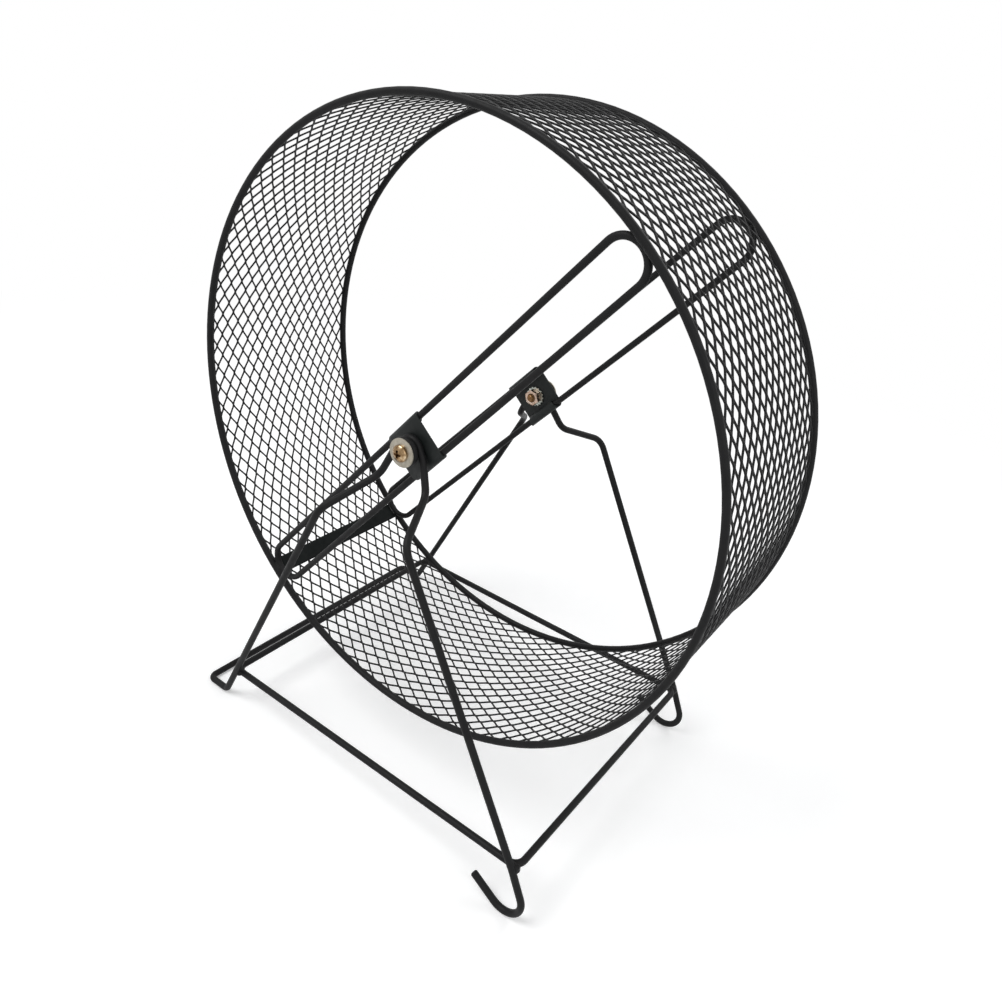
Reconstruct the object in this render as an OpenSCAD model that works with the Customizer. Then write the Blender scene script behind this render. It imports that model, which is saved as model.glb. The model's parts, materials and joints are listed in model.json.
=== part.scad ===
// Rodent exercise wheel: an open band of expanded metal between two wire rims, carried by a
// wire spoke loop and a hub plate on each side, and turning in the eyes of a bent-wire stand.
// Millimetres, +Z up. The origin is on the floor, straight below the middle of the axle.
// The axle runs along Y, and the near side of the wheel is the -Y side.

/* [Rims and band] */
// Radius of each rim wire's centre line
rim_r = 139.2; // [120:0.1:160]
// Distance between the two rim wires' centre lines
band_w = 89.2; // [75:0.1:110]
// Diameter of the rim wire
rim_wire_d = 3.2; // [2.6:0.1:4.2]
// Thickness of the expanded metal
mesh_t = 1; // [0.8:0.1:1.6]
// Width of the strands between the gaps
strand_w = 2.4; // [1.6:0.1:3]
// Width of the plain edge along each rim
mesh_edge_w = 2; // [1.5:0.1:4]
// Gaps round the band in one row
mesh_around = 30; // [28:1:32]
// Full rows of gaps across the band
mesh_rows = 5; // [4:1:5]

/* [Seam strip] */
// Width of the strip that covers the band's seam, round the wheel
strip_w = 8.7; // [6:0.1:14]
// Thickness of the seam strip
strip_t = 1; // [0.6:0.1:1.6]

/* [Spoke loops] */
// Diameter of the spoke wire
spoke_wire_d = 3; // [2.4:0.1:3.6]
// Distance between the two long wires of a loop, centre to centre
spoke_pitch = 18.4; // [15:0.1:26]
// Distance of a loop's plane inside its rim's plane
spoke_inset = 1.8; // [0:0.1:1.8]
// Angle of the loops above the floor, as the wheel stands at rest
spoke_angle = 51.2; // [0:0.1:180]
// Angle by which the near loop is turned ahead of the far one
spoke_twist = 1; // [0:0.1:2]
// Depth to which a weld joins two wires
weld_depth = 0.3; // [0.2:0.1:0.8]
// Radius of a weld bead
weld_r = 1.9; // [1.7:0.1:2.6]

/* [Hub plates] */
// Length of a hub plate along the spoke wires
plate_len = 22.5; // [18:0.5:34]
// Thickness of the plate's sheet
plate_t = 0.9; // [0.8:0.1:1.6]

/* [Pivot] */
// Diameter of the pivot screw
screw_d = 4; // [3:0.1:4.4]
// Length of the screw's shank
screw_len = 14.5; // [14:0.5:20]
// Diameter of the pan head
head_d = 7.6; // [6.5:0.1:9]
// Height of the pan head
head_h = 2.5; // [2:0.1:3.2]
// Length of each arm of the head's cross recess
recess_len = 4.2; // [3:0.1:5]
// Width of each arm of the cross recess
recess_w = 0.8; // [0.6:0.1:1.2]
// Depth of the cross recess
recess_depth = 1.3; // [0.8:0.1:1.6]
// Wall of the bush on which the stand's eye runs
bush_wall = 1.15; // [0.8:0.05:1.5]
// Diameter of the large washer under the head
washer_d = 13; // [12:0.1:18]
// Thickness of the large washer
washer_t = 0.8; // [0.6:0.1:1.6]
// Diameter over the teeth of the lock washer
lock_d = 9.8; // [8.8:0.1:11]
// Thickness of the lock washer
lock_t = 0.9; // [0.6:0.1:1.2]
// Teeth of the lock washer
lock_teeth = 16; // [10:1:20]
// Depth of the gaps between its teeth
tooth_depth = 0.5; // [0.2:0.1:0.8]
// Width of the nut across its flats
nut_af = 7; // [6.6:0.1:8]
// Height of the nut
nut_h = 3.2; // [2.4:0.1:4]

/* [Stand legs] */
// Diameter of the stand's wire
stand_wire_d = 3.3; // [2.8:0.1:3.6]
// Half the distance between the two legs where they turn outward
shoulder_x = 13.3; // [11:0.1:16]
// Depth of that bend below the axle
shoulder_drop = 15.4; // [13:0.1:18]
// Distance of that bend outside the eye's outer turn
shoulder_out = 0.8; // [0:0.1:2]
// Distance out to the left legs' next bend, where they turn down
knee_x_left = 25.3; // [20:0.1:30]
// Depth of that bend below the axle
knee_drop_left = 28.4; // [24:0.1:34]
// Distance out to the right legs' next bend, where they turn down
knee_x_right = 24; // [20:0.1:30]
// Depth of that bend below the axle
knee_drop_right = 25.4; // [22:0.1:32]
// Distance of the legs outside the rim wire, along the axle
leg_out = 30.4; // [24:0.1:40]
// Lean of the left legs from upright
leg_angle_left = 27.2; // [22:0.1:32]
// Lean of the right legs from upright
leg_angle_right = 28.1; // [22:0.1:32]
// Radius of the legs' bends
leg_bend_r = 9; // [5:0.5:10]

/* [Base ring] */
// Gap between the rim and the middle of the base ring's wire
base_gap = 11.6; // [8:0.1:20]
// Radius of the base ring's corners
base_corner_r = 5; // [4:0.5:8]
// Distance of the ring's side rails inside the legs' plane
base_inset = 2.2; // [1.8:0.1:2.6]

/* [Feet and hooks] */
// Depth of the floor rail below the base ring
foot_drop = 16; // [12:0.1:22]
// Distance by which each foot reaches out to the floor rail
foot_reach = 14.2; // [11:0.1:20]
// Radius of the foot's bends
foot_bend_r = 3.5; // [2.5:0.1:4]
// Length of the right legs below the base ring, before the hooks
hook_shank = 14.9; // [12:0.1:24]
// Lean of the right legs from upright below the base ring
hook_angle = 24; // [20:0.1:27]
// Radius of the hooks
hook_r = 9; // [6:0.1:11]
// Angle through which the hooks turn
hook_turn = 147; // [120:1:165]
// Length of the straight tip of each hook
hook_tip = 13.6; // [10:0.1:24]

/* [Clearances] */
// Running clearance between the bush and the stand's eye
eye_clearance = 0.1; // [0.08:0.01:0.2]
// Gap between the turns of the eye
coil_gap = 0.1; // [0.1:0.05:0.6]
// End play between the eye and the large washer
end_play = 0.3; // [0.2:0.05:0.6]
// Gap between the hub plate and the eye
plate_gap = 0.3; // [0.3:0.05:1]
// Gap round pieces that lie against each other
fit_gap = 0.1; // [0.05:0.01:0.15]

/* [Hidden] */
$fn = 48;

POWDER_BLACK = "#2a2b2c";
PLATE_BLACK = "#222729";
YELLOW_ZINC = "#b98d3f";
PALE_STEEL = "#b9b4a8";
GREY_STEEL = "#6c6d68";

// Radii of the wires
rim_wire_r = rim_wire_d / 2;
spoke_wire_r = spoke_wire_d / 2;
wire_r = stand_wire_d / 2;

// Places along the axle, outward from the middle of the wheel
rim_w = band_w / 2;
loop_w = rim_w - spoke_inset;
sleeve_r = spoke_wire_r + fit_gap + plate_t;
sleeve_proud = 0.1;
web_out = loop_w + sleeve_r - sleeve_proud;
web_in = web_out - plate_t;
eye_in_w = loop_w + sleeve_r + plate_gap + wire_r;
eye_out_w = eye_in_w + stand_wire_d + coil_gap;
washer_in = eye_out_w + wire_r + end_play;
washer_out = washer_in + washer_t;
leg_w = rim_w + leg_out;

// Pivot radii
screw_r = screw_d / 2;
hole_r = screw_r + fit_gap;
bush_r = hole_r + bush_wall;
eye_r = bush_r + eye_clearance + wire_r;

// Stand, in the plane across the axle, before it settles on the floor
base_drop = rim_r + rim_wire_r + base_gap;
leg_left = knee_x_left + (base_drop - knee_drop_left) * tan(leg_angle_left);
leg_right = knee_x_right + (base_drop - knee_drop_right) * tan(leg_angle_right);
leg_left_dir = [-sin(leg_angle_left), -cos(leg_angle_left)];
hook_dir = [sin(hook_angle), -cos(hook_angle)];
toe = [-leg_left, -base_drop] + leg_left_dir * foot_drop / cos(leg_angle_left);
rail = toe - [foot_reach, 0];
hook_start = [leg_right, -base_drop] + hook_dir * hook_shank;
hook_centre = hook_start + [hook_dir[1], -hook_dir[0]] * hook_r;
hook_a0 = atan2(hook_start[1] - hook_centre[1], hook_start[0] - hook_centre[0]);
hook_a1 = hook_a0 - hook_turn;

// The stand rests on the rail and on both hooks, so it leans until they are level
rest_span = hook_centre - rail;
lean = asin(hook_r / norm(rest_span)) - atan2(rest_span[1], rest_span[0]);
hub_z = wire_r - rail[0] * sin(lean) - rail[1] * cos(lean);

// The legs touch the base ring's corners from outside: the way from a corner's middle to its leg
corner_away = base_corner_r + base_inset;
corner_along = sqrt(pow(base_corner_r + stand_wire_d - weld_depth, 2) - pow(corner_away, 2));
corner_dir = [corner_along, corner_away] / norm([corner_along, corner_away]);
ring_right = leg_right + base_corner_r - corner_along;
ring_left = leg_left + base_corner_r - corner_along;
ring_w = leg_w - base_inset;

// Spoke loops reach into the rim wires by the depth of the weld
spoke_r = spoke_pitch / 2;
loop_end = rim_r - sqrt(pow(rim_wire_r + spoke_wire_r - weld_depth, 2) - pow(spoke_inset, 2));
loop_straight = loop_end - spoke_r;

// Height of the pan head's upright edge, below its dome
head_edge_h = 0.45 * head_h;

solid_overrun = 2;

// Straight runs are this much thinner than the bends, and reach this far into them
run_shy = 0.01;
run_lap = 0.05;

function unit(v) = v / norm(v);
function flat_dir(a) = [cos(a), sin(a), 0];

// A straight round rod from one point to another
module rod(a, b, r) {
    d = b - a;
    translate(a)
        rotate([0, acos(d[2] / norm(d)), atan2(d[1], d[0])])
            cylinder(h = norm(d), r = r);
}

// A straight run between two bends
module run(a, b, r) rod(a - unit(b - a) * run_lap, b + unit(b - a) * run_lap, r - run_shy);

// Puts a flat piece at a point, with its x and z along two given directions
module placed(at, x, z) {
    y = cross(z, x);
    multmatrix([
        [x[0], y[0], z[0], at[0]],
        [x[1], y[1], z[1], at[1]],
        [x[2], y[2], z[2], at[2]]
    ]) children();
}

// A round wire bent to an arc that starts on the x axis
module arc(bend_r, turn, r) rotate_extrude(angle = turn) translate([bend_r, 0]) circle(r);

// The bend of a wire that runs from a to b and on to c
function half_angle(a, b, c) = acos(unit(a - b) * unit(c - b)) / 2;
module elbow(a, b, c, bend_r, r) {
    u = unit(a - b);
    v = unit(c - b);
    half = half_angle(a, b, c);
    middle = b + unit(u + v) * bend_r / sin(half);
    start = b + u * bend_r / tan(half);
    placed(middle, unit(start - middle), unit(cross(v, u))) arc(bend_r, 180 - 2 * half, r);
}

// A wire with straight runs between its corners and a bend at each inner corner
module bent_wire(points, bends, r) {
    last = len(points) - 1;
    back = [
        0,
        for (i = [1 : last - 1])
            bends[i - 1] / tan(half_angle(points[i - 1], points[i], points[i + 1])),
        0
    ];
    for (i = [0 : last - 1]) {
        along = unit(points[i + 1] - points[i]);
        run(points[i] + along * back[i], points[i + 1] - along * back[i + 1], r);
    }
    for (i = [1 : last - 1]) elbow(points[i - 1], points[i], points[i + 1], bends[i - 1], r);
}

// Frames: u runs to the right, v up and w along the axle to the near side
module axle_frame() translate([0, 0, hub_z]) rotate([90, 0, 0]) children();
module stand_frame() axle_frame() rotate(lean) children();
module wheel_frame() axle_frame() rotate(spoke_angle) children();
module far_side() mirror([0, 0, 1]) children();
module near_wheel() wheel_frame() rotate(spoke_twist / 2) children();
module far_wheel() wheel_frame() rotate(-spoke_twist / 2) far_side() children();

// Eye: a turn and a half of wire round the bush. The right leg runs into the inner turn, which
// passes under the bush at a slant into the outer turn, and that runs into the left leg.
shoulder_reach = norm([shoulder_x, shoulder_drop]);
eye_start_a = acos(eye_r / shoulder_reach) - atan2(shoulder_drop, shoulder_x);
eye_shift = eye_out_w - eye_in_w;
slant_r = norm([eye_r, eye_shift / 2]);
slant = atan2(eye_shift / 2, eye_r);
slant_lap = run_lap / slant_r * 180 / PI;
ease_share = 0.3;
ease_r = 12;
module eye() {
    translate([0, 0, eye_in_w]) rotate(eye_start_a) arc(eye_r, 180 - eye_start_a, wire_r);
    translate([0, 0, eye_in_w + eye_shift / 2]) rotate([0, -slant, 0])
        rotate(180 - slant_lap) arc(slant_r, 180 + 2 * slant_lap, wire_r - run_shy);
    translate([0, 0, eye_out_w]) arc(eye_r, 180 - eye_start_a, wire_r);
}

// One side of the stand: hook, right leg, eye, left leg, foot and the start of the floor rail
rail_end_w = leg_w - 2 * foot_bend_r;
shoulder_w = eye_out_w + shoulder_out;
tip_chamfer = 0.5;
module side_frame() {
    right_end = eye_r * flat_dir(eye_start_a) + [0, 0, eye_in_w];
    left_end = eye_r * flat_dir(180 - eye_start_a) + [0, 0, eye_out_w];
    hook_end = hook_centre + hook_r * [cos(hook_a1), sin(hook_a1)];
    tip = hook_end + hook_tip * [sin(hook_a1), -cos(hook_a1)];
    run([tip[0], tip[1], leg_w], [hook_end[0], hook_end[1], leg_w], wire_r);
    translate([tip[0], tip[1], leg_w]) rotate(hook_a1) rotate([90, 0, 0])
        cylinder(h = run_lap + tip_chamfer, r1 = wire_r - 2 * run_shy, r2 = wire_r - tip_chamfer);
    translate([hook_centre[0], hook_centre[1], leg_w]) rotate(hook_a1) arc(hook_r, hook_turn, wire_r);
    bent_wire([
        [hook_start[0], hook_start[1], leg_w],
        [leg_right, -base_drop, leg_w],
        [knee_x_right, -knee_drop_right, leg_w],
        [shoulder_x, -shoulder_drop, shoulder_w],
        ease_share * [shoulder_x, -shoulder_drop, eye_in_w] + (1 - ease_share) * right_end,
        right_end
    ], [leg_bend_r, leg_bend_r, leg_bend_r, ease_r], wire_r);
    eye();
    bent_wire([
        left_end,
        ease_share * [-shoulder_x, -shoulder_drop, eye_out_w] + (1 - ease_share) * left_end,
        [-shoulder_x, -shoulder_drop, shoulder_w],
        [-knee_x_left, -knee_drop_left, leg_w],
        [toe[0], toe[1], leg_w],
        [rail[0], rail[1], leg_w],
        [rail[0], rail[1], rail_end_w + run_lap]
    ], [ease_r, leg_bend_r, leg_bend_r, foot_bend_r, foot_bend_r], wire_r);
}
module near_side_frame() color(POWDER_BLACK) stand_frame() side_frame();
module far_side_frame() color(POWDER_BLACK) stand_frame() far_side() side_frame();

module floor_rail() color(POWDER_BLACK) stand_frame()
    translate([rail[0], rail[1], -rail_end_w]) cylinder(h = 2 * rail_end_w, r = wire_r);

// Base ring: four rails and four rounded corners in one plane, across v
module base_ring() color(POWDER_BLACK) stand_frame() translate([0, -base_drop, 0]) rotate([90, 0, 0]) {
    right = ring_right - base_corner_r;
    left = -ring_left + base_corner_r;
    side = ring_w - base_corner_r;
    run([left, ring_w, 0], [right, ring_w, 0], wire_r);
    run([left, -ring_w, 0], [right, -ring_w, 0], wire_r);
    run([ring_right, -side, 0], [ring_right, side, 0], wire_r);
    run([-ring_left, -side, 0], [-ring_left, side, 0], wire_r);
    translate([right, side, 0]) arc(base_corner_r, 90, wire_r);
    translate([left, side, 0]) rotate(90) arc(base_corner_r, 90, wire_r);
    translate([left, -side, 0]) rotate(180) arc(base_corner_r, 90, wire_r);
    translate([right, -side, 0]) rotate(270) arc(base_corner_r, 90, wire_r);
}

// Beads where the legs are welded to the ring's corners
module corner_welds() color(POWDER_BLACK) stand_frame()
    for (x = [-leg_left, leg_right], w = [-leg_w, leg_w])
        translate([
            x - sign(x) * (wire_r - weld_depth / 2) * corner_dir[0],
            -base_drop,
            w - sign(w) * (wire_r - weld_depth / 2) * corner_dir[1]
        ]) sphere(weld_r);

// Rims
module rim() rotate_extrude() translate([rim_r, 0]) circle(rim_wire_r);
module near_rim() color(POWDER_BLACK) wheel_frame() translate([0, 0, rim_w]) rim();
module far_rim() color(POWDER_BLACK) wheel_frame() translate([0, 0, -rim_w]) rim();

// Band of expanded metal: rows of long gaps round the wheel, every other row half a gap on
band_half = rim_w - rim_wire_r - fit_gap;
gap_len = 2 * PI * rim_r / mesh_around;
gap_pitch = 2 * (band_half - mesh_edge_w + strand_w / 2) / mesh_rows;
module mesh_gap() {
    long = gap_len / 2 - strand_w;
    short = gap_pitch / 2 - strand_w / 2;
    rotate([90, 0, 90])
        linear_extrude(mesh_t + 2 * solid_overrun)
            polygon([[long, 0], [0, short], [-long, 0], [0, -short]]);
}
module mesh_band() color(POWDER_BLACK) wheel_frame() difference() {
    rotate_extrude() translate([rim_r - mesh_t / 2, -band_half]) square([mesh_t, 2 * band_half]);
    for (i = [0 : mesh_around - 1], j = [0 : 2 * mesh_rows - 2])
        rotate(360 * (i + 0.5 * (j % 2)) / mesh_around)
            translate([rim_r - mesh_t / 2 - solid_overrun, 0, (j - mesh_rows + 1) * gap_pitch / 2])
                mesh_gap();
}

// Strip inside the band that covers its seam, at one end of the spoke loops
strip_half = loop_w - spoke_wire_r - fit_gap;
strip_out_r = rim_r - mesh_t / 2 - fit_gap;
strip_angle = strip_w / strip_out_r * 180 / PI;
module seam_strip() color(PLATE_BLACK) wheel_frame() rotate(180 - strip_angle / 2)
    rotate_extrude(angle = strip_angle)
        translate([strip_out_r - strip_t, -strip_half]) square([strip_t, 2 * strip_half]);

// Spoke loops: two long wires joined by half rings, welded to the rim at both ends
module spoke_loop() {
    for (s = [-1, 1])
        run([-loop_straight, s * spoke_r, loop_w], [loop_straight, s * spoke_r, loop_w], spoke_wire_r);
    for (turn = [0, 180])
        rotate(turn) translate([loop_straight, 0, loop_w]) rotate(-90) arc(spoke_r, 180, spoke_wire_r);
}
module near_spoke_loop() color(POWDER_BLACK) near_wheel() spoke_loop();
module far_spoke_loop() color(POWDER_BLACK) far_wheel() spoke_loop();

module end_welds()
    for (u = [-1, 1]) translate([u * (rim_r + loop_end) / 2, 0, (rim_w + loop_w) / 2]) sphere(weld_r);
module spoke_welds() color(POWDER_BLACK) {
    near_wheel() end_welds();
    far_wheel() end_welds();
}

// Hub plates: a flat web outside the spoke wires, with both edges rolled round them
module hub_plate() difference() {
    union() {
        translate([-plate_len / 2, -spoke_r, web_in]) cube([plate_len, spoke_pitch, plate_t]);
        for (s = [-1, 1])
            rod([-plate_len / 2, s * spoke_r, loop_w], [plate_len / 2, s * spoke_r, loop_w], sleeve_r);
    }
    for (s = [-1, 1])
        rod([-plate_len, s * spoke_r, loop_w], [plate_len, s * spoke_r, loop_w], spoke_wire_r + fit_gap);
    translate([0, 0, web_in - solid_overrun]) cylinder(h = plate_t + 2 * solid_overrun, r = hole_r);
}
module near_hub_plate() color(PLATE_BLACK) near_wheel() hub_plate();
module far_hub_plate() color(PLATE_BLACK) far_wheel() hub_plate();

// Pivot pieces, from the wheel outward
module washer(low, high, outer, inner) difference() {
    translate([0, 0, low]) cylinder(h = high - low, r = outer);
    translate([0, 0, low - solid_overrun]) cylinder(h = high - low + 2 * solid_overrun, r = inner);
}
module bush() washer(web_out, washer_in, bush_r, hole_r);
module near_bush() color(GREY_STEEL) near_wheel() bush();
module far_bush() color(GREY_STEEL) far_wheel() bush();

module large_washer() washer(washer_in, washer_out, washer_d / 2, hole_r);
module near_large_washer() color(PALE_STEEL) near_wheel() large_washer();
module far_large_washer() color(PALE_STEEL) far_wheel() large_washer();

// Pan head with a cross recess, on a plain shank
module screw() {
    dome_r = (pow(head_d / 2, 2) + pow(head_h - head_edge_h, 2)) / (2 * (head_h - head_edge_h));
    difference() {
        union() {
            translate([0, 0, washer_out - screw_len]) cylinder(h = screw_len + head_edge_h / 2, r = screw_r);
            translate([0, 0, washer_out]) intersection() {
                cylinder(h = head_h, r = head_d / 2);
                translate([0, 0, head_h - dome_r]) sphere(dome_r);
            }
        }
        for (turn = [45, 135])
            translate([0, 0, washer_out + head_h - recess_depth]) rotate(turn)
                translate([-recess_len / 2, -recess_w / 2, 0]) cube([recess_len, recess_w, head_h]);
    }
}
module near_screw() color(YELLOW_ZINC) near_wheel() screw();
module far_screw() color(YELLOW_ZINC) far_wheel() screw();

// Toothed lock washer on the inner face of the plate
module lock_washer() {
    root_r = lock_d / 2 - tooth_depth;
    difference() {
        translate([0, 0, web_in - lock_t]) linear_extrude(lock_t) polygon([
            for (k = [0 : 4 * lock_teeth - 1])
                let (r = (k % 4 < 2) ? lock_d / 2 : root_r, a = 90 * k / lock_teeth)
                [r * cos(a), r * sin(a)]
        ]);
        translate([0, 0, web_in - lock_t - solid_overrun]) cylinder(h = lock_t + 2 * solid_overrun, r = hole_r);
    }
}
module near_lock_washer() color(GREY_STEEL) near_wheel() lock_washer();
module far_lock_washer() color(GREY_STEEL) far_wheel() lock_washer();

module nut() {
    low = web_in - lock_t - nut_h;
    difference() {
        translate([0, 0, low]) cylinder(h = nut_h, r = nut_af / 2 / cos(30), $fn = 6);
        translate([0, 0, low - solid_overrun]) cylinder(h = nut_h + 2 * solid_overrun, r = hole_r);
    }
}
module near_nut() color(YELLOW_ZINC) near_wheel() nut();
module far_nut() color(YELLOW_ZINC) far_wheel() nut();

near_side_frame();
far_side_frame();
floor_rail();
base_ring();
corner_welds();
near_rim();
far_rim();
mesh_band();
seam_strip();
near_spoke_loop();
far_spoke_loop();
spoke_welds();
near_hub_plate();
far_hub_plate();
near_bush();
far_bush();
near_screw();
far_screw();
near_large_washer();
far_large_washer();
near_lock_washer();
far_lock_washer();
near_nut();
far_nut();
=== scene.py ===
"""Rodent exercise wheel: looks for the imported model, in metres, in the model's own frame.

The stand's wires, the rims and the spoke loops keep the shapes of their CAD nodes. The band, the seam
strip, the welds, the hub plates and the pivot hardware are replaced by pieces with more detail.
"""

import json
import math

import bmesh
import bpy
from mathutils import Matrix, Vector, noise


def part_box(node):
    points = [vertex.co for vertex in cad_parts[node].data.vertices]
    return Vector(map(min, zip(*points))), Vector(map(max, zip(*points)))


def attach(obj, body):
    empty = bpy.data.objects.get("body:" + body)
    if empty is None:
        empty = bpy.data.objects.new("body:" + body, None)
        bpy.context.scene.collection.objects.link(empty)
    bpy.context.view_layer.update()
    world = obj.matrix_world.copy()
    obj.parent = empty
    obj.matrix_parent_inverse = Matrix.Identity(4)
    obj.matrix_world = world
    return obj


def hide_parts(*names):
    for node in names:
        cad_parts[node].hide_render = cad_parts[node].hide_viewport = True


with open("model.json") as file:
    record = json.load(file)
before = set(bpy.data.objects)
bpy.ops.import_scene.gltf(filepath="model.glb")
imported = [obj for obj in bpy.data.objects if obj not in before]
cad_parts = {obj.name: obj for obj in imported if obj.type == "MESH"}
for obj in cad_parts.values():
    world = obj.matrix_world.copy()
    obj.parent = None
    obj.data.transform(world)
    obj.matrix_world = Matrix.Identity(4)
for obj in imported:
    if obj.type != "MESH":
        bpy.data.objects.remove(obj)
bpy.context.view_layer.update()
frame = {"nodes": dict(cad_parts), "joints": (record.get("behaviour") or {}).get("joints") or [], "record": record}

MM = 0.001

# Places that come from the model
hub = Vector(frame["joints"][0]["pos_m"])
rim_low, rim_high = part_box("near_rim")
rim_wire_r = (rim_high.y - rim_low.y) / 2
rim_r = (rim_high.x - rim_low.x) / 2 - rim_wire_r
rim_w = -(rim_low.y + rim_high.y) / 2

# Spoke loops: mean angle above the floor, angle between the two, and their wires' distance from the hub
SPOKE_ANGLE = math.radians(51.2)
SPOKE_TWIST = math.radians(1)
SPOKE_WIRE_V = 9.2 * MM

# Expanded metal: gaps in a row, distance between rows in line, place of the middle row, and place of
# the first gap in a row, in gaps
MESH_AROUND = 79
MESH_PITCH_W = 6.155 * MM
MESH_SHIFT_W = 0.6 * MM
MESH_START = 0.61
# Strands: width, thickness, lift at a gap's short tips, and bow as a share of a gap's half width
MESH_STRAND = 0.67 * MM
MESH_THICKNESS = 0.58 * MM
MESH_TILT = 0.09 * MM
MESH_BEND = 0.055
# Gaps: points on a quarter of one, length cut off each long tip, and least opening beside a rim
MESH_STEPS = (0, 0.22, 0.48, 0.77)
MESH_BLUNT = 0.4 * MM
MESH_SLIVER = 0.3 * MM
# Edges: solid strip beside each rim wire, and distance of the sheet's end from the wire's middle
MESH_EDGE = 0.5 * MM
MESH_SHORT_OF_RIM = 0.2 * MM
# Distances under which points of the mesh merge, edges vanish, and a point is on the cutting plane
MERGE = 0.01 * MM
VANISH = 0.002 * MM
ON_PLANE = 0.0001 * MM

# Pivot screws: straight edge as a share of the head's height, rounding of its corners and the share of
# it at which its middle point lies, and steps from the edge to the top of the dome
HEAD_EDGE_SHARE = 0.45
HEAD_SOFT = 0.15 * MM
HEAD_SOFT_MIDDLE = 0.3
DOME_STEPS = 16
# Cross recess: length and width of a bar that cuts it, at its top and at its floor, how far the bar rises
# past the head, its depth, and the turns of the two bars
RECESS_TOP = (4.8 * MM, 1.25 * MM)
RECESS_FLOOR = (2.1 * MM, 0.9 * MM)
RECESS_PAST = 0.3 * MM
RECESS_DEPTH = 1.4 * MM
RECESS_TURNS = (math.radians(45), math.radians(135))
# Faces of the cross recess take the darker plating as a painted shade
# The recess's faces lie within this share of the head's radius, and at least this far below the dome
RECESS_SHADE_REACH = 0.65
RECESS_SHADE_SKIN = 0.06 * MM
# Radii of the screw's tip, core and shank, and height of the chamfer at its tip
SCREW_TIP_R = 1.35 * MM
SCREW_CORE_R = 1.62 * MM
SCREW_R = 2.0 * MM
SCREW_CHAMFER = 0.25 * MM
# Thread: pitch, steps in a turn, height of its ridge and sink into the core, half widths of its foot and
# crest in pitches, steps over which it runs out, and distance from the tip
THREAD_PITCH = 0.7 * MM
THREAD_STEPS = 40
THREAD_HEIGHT = 0.36 * MM
THREAD_SINK = 0.03 * MM
THREAD_FOOT = 0.32
THREAD_CREST = 0.05
THREAD_RUN_OUT = 12
THREAD_START = 0.4 * MM
# Depths inside the nut at which the thread and the core end and the shank begins
THREAD_IN_NUT = 0.7 * MM
CORE_IN_NUT = 0.5 * MM
SHANK_IN_NUT = 0.9 * MM

# Nuts: half the width across the flats, height of the chamfer, its radii as shares of that half width
# and of the corner's radius, radii of the hole and its countersink, and how far the cut runs past the nut
NUT_FLAT = 3.5 * MM
NUT_CHAMFER = 0.4 * MM
NUT_FACE_SHARE = 0.95
NUT_CORNER_SHARE = 1.01
NUT_HOLE_R = 1.8 * MM
NUT_SINK_R = 2.3 * MM
NUT_CUT_PAST = 0.5 * MM

# Large washers: hole, breaks of the hole's and the rim's inner edge, roll of the hole's outer edge, and
# points of the rim's outer edge as (distance in, depth below the face)
WASHER_HOLE_R = 2.15 * MM
WASHER_HOLE_BREAK = 0.08 * MM
WASHER_RIM_BREAK = 0.1 * MM
WASHER_HOLE_ROLL = 0.2 * MM
WASHER_EDGE = ((0, 0.28 * MM), (0.06 * MM, 0.12 * MM), (0.18 * MM, 0.03 * MM), (0.36 * MM, 0))

# Bushes: hole, and chamfer of the outer end's edges
BUSH_HOLE_R = 2.1 * MM
BUSH_CHAMFER = 0.2 * MM

# Lock washers: hole, tips, length of the teeth, and shares of the thickness at the ring and at the tips
LOCK_HOLE_R = 2.15 * MM
LOCK_TIP_R = 4.9 * MM
LOCK_TOOTH = 1.3 * MM
LOCK_RING_SHARE = 0.75
LOCK_TIP_SHARE = 0.55
# Number of teeth, and the points of each as (distance in, twist as a share of half the thickness)
LOCK_TEETH = 16
LOCK_POINTS = ((0, 0.4), (0, -0.4), (0.55 * MM, 0), (0.55 * MM, 0))

# Hub plates: sheet, half length, outer radius, end and steps of the roll round the spoke wires, and how
# much the rolled edges are cut back at their ends
PLATE_SHEET = 0.7 * MM
PLATE_HALF = 11.25 * MM
PLATE_ROLL_R = 2.35 * MM
PLATE_ROLL_END = math.radians(298)
PLATE_ROLL_STEPS = 28
PLATE_CUT_BACK = 3.2 * MM
# Cut ends of the sheet: rounding, and its points as (share of the rounding, share of the thickness)
PLATE_SOFT = 0.16 * MM
PLATE_EDGE = ((0, 0.62), (0.4, 0.86), (1, 1))

# Seam strip: half width, depth of its inner face, distance of its place inside the rims' centre line,
# gap left outside it, rounding of its edges, and points across and along
STRIP_HALF = 4.35 * MM
STRIP_DEPTH = 1.0 * MM
STRIP_INSET = 0.6 * MM
STRIP_GAP = 0.02 * MM
STRIP_SOFT = 0.3 * MM
STRIP_ACROSS = 13
STRIP_ALONG = 121
# Press marks of its spot welds, as shares of its half length, and their depth and radius
SPOTS = (-0.93, -0.62, -0.31, 0, 0.31, 0.62, 0.93)
SPOT_DEPTH = 0.22 * MM
SPOT_R = 1.1 * MM

# Weld beads: height and fineness of the broad and of the small swellings on their skin
BEAD_BROAD = (0.16, 1.7)
BEAD_SMALL = (0.05, 5)
# Spoke welds: radii of a main bead along u, v and w, and its distances inside the rim wire's middle
SPOKE_BEAD = (1.7 * MM, 2.9 * MM, 1.75 * MM)
SPOKE_BEAD_IN_U = 1.07 * MM
SPOKE_BEAD_IN_W = 0.9 * MM
# The same of the two smaller beads beside it, and their distances from it along v
SIDE_BEAD = (1.35 * MM, 1.8 * MM, 1.4 * MM)
SIDE_BEAD_IN_U = 1.25 * MM
SIDE_BEAD_IN_W = 1.0 * MM
SIDE_BEAD_OFF = 2.4 * MM
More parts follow.
